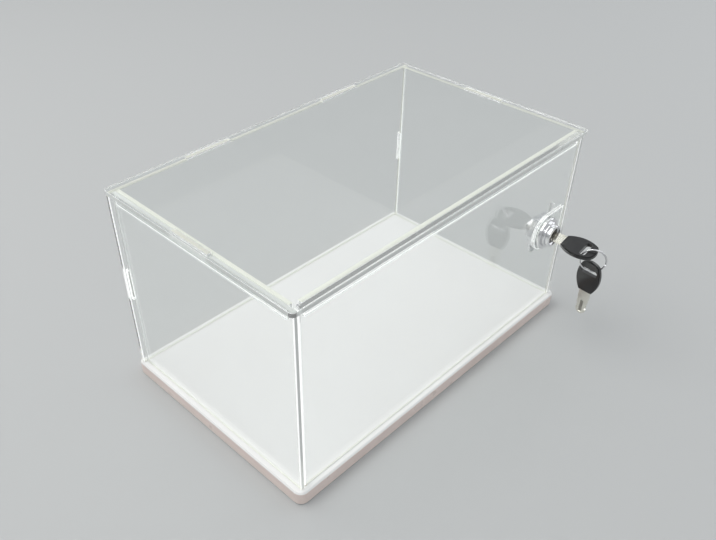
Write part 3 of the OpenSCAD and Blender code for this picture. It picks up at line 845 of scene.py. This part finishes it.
@dataclass
class ClearWork(SubAssembly):
    """Pieces of clear sheet, with polished faces, cut edges and eased corners whose brightness is a
    painted highlight.

    Args:
        hair_mm: How far a sheet is drawn in on every side, in millimetres.
        corner_mm: Width of the eased corners, in millimetres.
        corner_segments: Number of faces across a corner.
        sheet_mm: Depth of a tab, which is a sheet's thickness, in millimetres.
        rim_mm: How near its sheet's outline an eased corner takes the painted highlight, in
            millimetres.
        face_share: Least share of a normal along the thin axis for a broad face.
        corner_share: The same for an eased corner.
        edge_share: Least share of a normal along an edge's way for a face of that edge.
        face: The finish of the broad faces.
    """

    hair_mm: float = 0.012
    corner_mm: float = 0.5
    corner_segments: int = 2
    sheet_mm: float = 3.0
    rim_mm: float = 6.0
    face_share: float = 0.98
    corner_share: float = 0.02
    edge_share: float = 0.3
    face: ClassVar[ClearFaceFinish] = ClearFaceFinish("clear_face", (0.985, 0.995, 0.99), 0.012)

    def cut(self, sheet: Sheet) -> bpy.types.Object:
        """Builds one clear sheet.

        Args:
            sheet: Which sheet.

        Returns:
            The finished piece.
        """
        bm = clean_copy(sheet.node)
        draw_in(bm, self.hair_mm * MM)
        ease_edges(bm, self.corner_mm * MM, self.corner_segments)
        bm.normal_update()
        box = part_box(sheet.node)
        for face in bm.faces:
            face.material_index = self.zone(face, sheet, box)
        obj = to_object(sheet.node + "_sheet", bm)
        for poly in obj.data.polygons:
            poly.use_smooth = max(abs(c) for c in poly.normal) < STRAIGHT
        for finish in self.finishes(sheet.thin):
            obj.data.materials.append(self.wardrobe.wear(finish))
        return self.settle(obj, sheet.body, sheet.node, Slot.CLEAR_SHEET)

    def zone(self, face: bmesh.types.BMFace, sheet: Sheet, box: Sequence[Vector]) -> Zone:
        """Tells which zone of its sheet a face belongs to.

        Args:
            face: The face.
            sheet: The sheet.
            box: The sheet's lowest and highest corners.

        Returns:
            The zone.
        """
        normal = face.normal
        if abs(normal[sheet.thin]) > self.face_share:
            return Zone.FACE
        middle = face.calc_center_median()
        for edge in sheet.sawn + sheet.tabs:
            axis, sign = edge.value
            reach = box[1][axis] - middle[axis] if sign > 0 else middle[axis] - box[0][axis]
            near = reach < (self.sheet_mm + self.corner_mm) * MM
            if near and normal[axis] * sign > self.edge_share:
                at_end = edge in sheet.sawn or reach < self.corner_mm * MM
                return Zone.SAWN_EDGE if at_end else Zone.PALE_EDGE
        if abs(normal[sheet.thin]) > self.corner_share:
            across = [axis for axis in Axis if axis != sheet.thin]
            depth = min(min(middle[axis] - box[0][axis], box[1][axis] - middle[axis])
                        for axis in across)
            # Eased corners near the outline take the finish with the painted highlight.
            return Zone.CORNER if depth < self.rim_mm * MM else Zone.POLISHED_EDGE
        if max(abs(c) for c in normal) < STRAIGHT:
            return sheet.rounded
        if any(normal[edge.value[0]] * edge.value[1] > STRAIGHT for edge in sheet.pale):
            return Zone.PALE_EDGE
        return Zone.POLISHED_EDGE

    def finishes(self, thin: Axis) -> list[ClearFaceFinish | CutEdgeFinish]:
        """Lists a sheet's finishes in the order of its zones.

        Args:
            thin: The axis along which the sheet is thin.

        Returns:
            The finishes of the face, polished edge, sawn edge, corner and pale edge; the corner's
            finish is a painted highlight, and every edge finish has a faint painted emission.
        """
        end = "_" + thin.name.lower()
        return [
            self.face,
            CutEdgeFinish("polished_edge" + end, (0.97, 0.985, 0.975), roughness=0.24,
                          transmission=0.75, painted_glow=0.06, thin=thin, bump_mm=0.004),
            CutEdgeFinish("sawn_edge" + end, (0.86, 0.87, 0.78), roughness=0.4,
                          transmission=0.3, painted_glow=0.03, thin=thin),
            # Eased corners: a strong painted emission, a painted highlight along the outline.
            CutEdgeFinish("corner_painted_highlight" + end, (0.97, 0.98, 0.97), roughness=0.35,
                          transmission=0.1, painted_glow=0.5, thin=thin),
            CutEdgeFinish("pale_edge" + end, (0.84, 0.86, 0.84), roughness=0.3,
                          transmission=0.25, painted_glow=0.04, thin=thin, bump_mm=0.004),
        ]


@dataclass
class ClearShell(ClearWork):
    """Top, back, sides and the strips under the top.

    Args:
        sheets: The sheets.
    """

    sheets: tuple[Sheet, ...] = (
        Sheet("top_panel", Body.CASE, Axis.Z, pale=(Edge.LEFT, Edge.FRONT)),
        Sheet("back_panel", Body.CASE, Axis.Y, sawn=(Edge.UP, Edge.DOWN)),
        Sheet("left_panel", Body.CASE, Axis.X, sawn=(Edge.DOWN,), tabs=(Edge.UP, Edge.BACK),
              pale=(Edge.FRONT,)),
        Sheet("right_panel", Body.CASE, Axis.X, sawn=(Edge.UP, Edge.DOWN, Edge.BACK),
              pale=(Edge.FRONT,)),
        Sheet("front_top_strip", Body.CASE, Axis.Y, sawn=(Edge.UP,)),
        Sheet("left_top_strip", Body.CASE, Axis.X, sawn=(Edge.UP,)))

    def build(self) -> None:
        """Makes the sheets of the shell."""
        for sheet in self.sheets:
            self.cut(sheet)


@dataclass
class PivotedDoor(ClearWork):
    """The clear door with its lock plate, pins and washer.

    Args:
        door: The sheet of the door.
        plate: The sheet of the lock plate.
    """

    door: Sheet = Sheet("front_door", Body.DOOR, Axis.Y, sawn=(Edge.DOWN, Edge.RIGHT),
                        rounded=Zone.SAWN_EDGE)
    plate: Sheet = Sheet("lock_plate", Body.DOOR, Axis.Y)

    def build(self) -> None:
        """Makes the door's pieces."""
        self.cut(self.door)
        self.cut(self.plate)
        self.keep("door_pivot_pins", Look.STEEL)
        self.keep("pivot_washer", Look.NYLON)


@dataclass
class CamLock(SubAssembly):
    """The cam lock: chromed body, nut, plug, wafers and cam.

    Args:
        body_ease_mm: Width of the easing of the body and the cam screw, in millimetres.
        plug_ease_mm: The same for the plug.
        nut_ease_mm: The same for the nut and the cam.
        thin_ease_mm: The same for the washers and the turn stop.
        thin_segments: Number of faces across the easing of the plug and the thin pieces.
    """

    body_ease_mm: float = 0.12
    plug_ease_mm: float = 0.06
    nut_ease_mm: float = 0.15
    thin_ease_mm: float = 0.08
    thin_segments: int = 1

    def build(self) -> None:
        """Makes the lock's pieces."""
        self.eased("lock_body", Body.DOOR, Look.CHROME, Slot.LOCK_CHROME, self.body_ease_mm)
        self.eased("lock_nut", Body.DOOR, Look.ZINC, Slot.ZINC_PLATE, self.nut_ease_mm)
        self.eased("lock_washer", Body.DOOR, Look.ZINC, Slot.ZINC_PLATE, self.thin_ease_mm,
                   self.thin_segments)
        # The plug's darkened finish is painted shade for the lock's shadowed mouth.
        self.eased("lock_plug", Body.PLUG, Look.DARK_ZINC, Slot.LOCK_CHROME, self.plug_ease_mm,
                   self.thin_segments)
        self.eased("cam", Body.PLUG, Look.ZINC, Slot.ZINC_PLATE, self.nut_ease_mm)
        self.eased("cam_washer", Body.PLUG, Look.ZINC, Slot.ZINC_PLATE, self.thin_ease_mm,
                   self.thin_segments)
        self.eased("cam_screw", Body.PLUG, Look.ZINC, Slot.ZINC_PLATE, self.body_ease_mm)
        self.eased("turn_stop", Body.PLUG, Look.ZINC, Slot.ZINC_PLATE, self.thin_ease_mm,
                   self.thin_segments)
        self.keep("wafers", Look.BRASS)
        self.keep("wafer_springs", Look.STEEL)


@dataclass
class Key(SubAssembly):
    """One key: a nickel blade with a milled groove in each face, and a moulded black bow.

    Args:
        body: The body that it rides on.
        blade_node: The CAD node of its metal.
        bow_node: The CAD node of its bow.
        blade_ease_mm: Width of the easing of the metal, in millimetres.
        bow_ease_mm: Width of the easing of the bow, in millimetres.
        bow_segments: Number of faces across the easing of the bow.
        groove: The groove in the blade.
    """

    body: Body = Body.KEY
    blade_node: str = "key_blade"
    bow_node: str = "key_bow"
    blade_ease_mm: float = 0.1
    bow_ease_mm: float = 0.6
    bow_segments: int = 4
    groove: Groove = Groove()

    def build(self) -> None:
        """Makes the blade, whose groove floors are dull and darkened with painted shade, and the
        bow.
        """
        blade = clean_copy(self.blade_node)
        self.groove.mill(blade)
        metal = self.eased(self.blade_node, self.body, Look.NICKEL, Slot.KEY_NICKEL,
                           self.blade_ease_mm, shaped=blade)
        # The groove floors take the darker finish, painted shade in the recess.
        metal.data.materials.append(self.wardrobe.wear(Look.MILLED.value))
        milled_and_shaded = len(metal.data.materials) - 1
        for poly in self.groove.floor_faces(metal):
            poly.material_index = milled_and_shaded
        self.eased(self.bow_node, self.body, Look.BLACK, Slot.BOW_BLACK, self.bow_ease_mm,
                   self.bow_segments)


@dataclass
class KeyRing(SubAssembly):
    """The wire ring that the keys hang on."""

    def build(self) -> None:
        """Dresses the ring."""
        self.keep("key_ring", Look.STEEL)


# Studio


@dataclass(frozen=True)
class Lamp:
    """A soft rectangular lamp aimed at the case.

    Args:
        name: The lamp's name.
        place: Where it stands, in metres.
        size: Its width and height, in metres.
        watts: Its power.
        colour: Its colour.
        aim: The place that it is aimed at, in metres.
    """

    name: str
    place: Place
    size: tuple[float, float]
    watts: float
    colour: Colour = (1.0, 1.0, 1.0)
    aim: Place = (0.0, 0.0, 0.06)

    def light(self) -> None:
        """Adds the lamp to the scene."""
        data = bpy.data.lights.new(self.name, "AREA")
        data.shape = "RECTANGLE"
        data.size, data.size_y = self.size
        data.energy = self.watts
        data.color = self.colour
        obj = bpy.data.objects.new(self.name, data)
        obj.location = self.place
        way = Vector(self.aim) - Vector(self.place)
        obj.rotation_euler = way.to_track_quat("-Z", "Y").to_euler()
        bpy.context.scene.collection.objects.link(obj)


@dataclass
class Studio:
    """The pale floor, the surround, the lamps and the camera.

    Args:
        floor_half: Half the width of the floor, in metres.
        floor_colour: Colour of the floor.
        floor_roughness: Roughness of the floor.
        surround_low: Colour of the surround at eye level and below.
        surround_high: Colour of the surround overhead.
        surround_ends: How far up these two colours stand, from 0 at the foot to 1 overhead.
        surround_strength: Strength of the surround's light.
        camera_place: Where the camera stands, in metres.
        azimuth_deg: Which way it looks, in degrees from +Y towards +X.
        elevation_deg: How far it looks down, in degrees.
        lens: Its focal length for the sensor's width, in millimetres.
        sensor: The sensor's width, in millimetres.
        shift: Its shift to the side and up, as shares of the width.
        clip: The nearest and farthest distances that it sees, in metres.
        bounces: How often light bounces in the clear sheets.
        lamps: The lamps.
    """

    floor_half: float = 6.0
    floor_colour: Colour = (0.50, 0.51, 0.51)
    floor_roughness: float = 0.7
    surround_low: Colour = (0.42, 0.43, 0.44)
    surround_high: Colour = (0.75, 0.77, 0.79)
    surround_ends: tuple[float, float] = (0.45, 0.95)
    surround_strength: float = 0.8
    camera_place: Place = (-0.3292, -0.3019, 0.3954)
    azimuth_deg: float = 45.32
    elevation_deg: float = 39.42
    lens: float = 38.35
    sensor: float = 36.0
    shift: tuple[float, float] = (0.0317, 0.0502)
    clip: tuple[float, float] = (0.01, 30.0)
    bounces: int = 24
    lamps: tuple[Lamp, ...] = (
        Lamp("key_softbox", (-0.6, 0.75, 1.6), (2.0, 1.6), 20.0, (1.0, 0.985, 0.96)),
        Lamp("side_softbox", (1.5, -0.3, 1.0), (1.4, 1.6), 7.0, (0.96, 0.98, 1.0)),
        Lamp("front_softbox", (-1.2, -1.4, 1.3), (1.2, 1.2), 4.0))

    def build(self) -> None:
        """Makes the studio."""
        self.lay_floor()
        self.set_surround()
        for lamp in self.lamps:
            lamp.light()
        self.place_camera()
        scene = bpy.context.scene
        scene.view_settings.view_transform = "Standard"
        scene.cycles.max_bounces = self.bounces
        scene.cycles.transmission_bounces = self.bounces
        scene.cycles.transparent_max_bounces = self.bounces

    def lay_floor(self) -> None:
        """Adds the floor, which belongs to the studio and not to the part."""
        mesh = bpy.data.meshes.new("floor")
        half = self.floor_half
        corners = [(-half, -half, 0), (half, -half, 0), (half, half, 0), (-half, half, 0)]
        mesh.from_pydata(corners, [], [range(len(corners))])
        floor = bpy.data.objects.new("floor", mesh)
        bpy.context.scene.collection.objects.link(floor)
        mat, shader, _ = start_material("floor_pale")
        shader.inputs["Base Color"].default_value = (*self.floor_colour, 1.0)
        shader.inputs["Roughness"].default_value = self.floor_roughness
        floor.data.materials.append(mat)

    def set_surround(self) -> None:
        """Sets an even pale surround, paler overhead."""
        world = bpy.data.worlds.new("surround")
        bpy.context.scene.world = world
        world.use_nodes = True
        nodes, links = world.node_tree.nodes, world.node_tree.links
        back = nodes["Background"]
        coord = nodes.new("ShaderNodeTexCoord")
        split = nodes.new("ShaderNodeSeparateXYZ")
        ramp = nodes.new("ShaderNodeValToRGB")
        colours = (self.surround_low, self.surround_high)
        for element, height, colour in zip(ramp.color_ramp.elements, self.surround_ends, colours):
            element.position = height
            element.color = (*colour, 1.0)
        rise = nodes.new("ShaderNodeMapRange")
        rise.inputs["From Min"].default_value = -1.0
        links.new(coord.outputs["Generated"], split.inputs[0])
        links.new(split.outputs["Z"], rise.inputs["Value"])
        links.new(rise.outputs["Result"], ramp.inputs["Fac"])
        links.new(ramp.outputs["Color"], back.inputs["Color"])
        back.inputs["Strength"].default_value = self.surround_strength

    def place_camera(self) -> None:
        """Adds the camera at the photographed view, above the front left corner."""
        azimuth, elevation = math.radians(self.azimuth_deg), math.radians(self.elevation_deg)
        level = math.cos(elevation)
        look = Vector((math.sin(azimuth) * level, math.cos(azimuth) * level, -math.sin(elevation)))
        data = bpy.data.cameras.new("camera")
        data.sensor_width = self.sensor
        data.lens = self.lens
        data.shift_x, data.shift_y = self.shift
        data.clip_start, data.clip_end = self.clip
        obj = bpy.data.objects.new("camera", data)
        obj.location = self.camera_place
        obj.rotation_euler = look.to_track_quat("-Z", "Y").to_euler()
        bpy.context.scene.collection.objects.link(obj)
        bpy.context.scene.camera = obj


def main() -> None:
    """Builds the sub-assemblies in order, reports each piece, and sets up the studio."""
    wardrobe = Wardrobe()
    assemblies: list[SubAssembly] = [
        BaseBoard(wardrobe),
        ClearShell(wardrobe),
        PivotedDoor(wardrobe),
        CamLock(wardrobe),
        Key(wardrobe),
        Key(wardrobe, body=Body.SPARE, blade_node="spare_key_blade", bow_node="spare_key_bow"),
        KeyRing(wardrobe),
    ]
    for assembly in assemblies:
        assembly.build()
        for piece in assembly.pieces:
            LOG.info("%s: %s, %d faces", type(assembly).__name__, piece.name,
                     len(piece.data.polygons))
    Studio().build()


if __name__ == "__main__":
    logging.basicConfig(level=logging.INFO, format="%(message)s")
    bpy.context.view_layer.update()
    main()
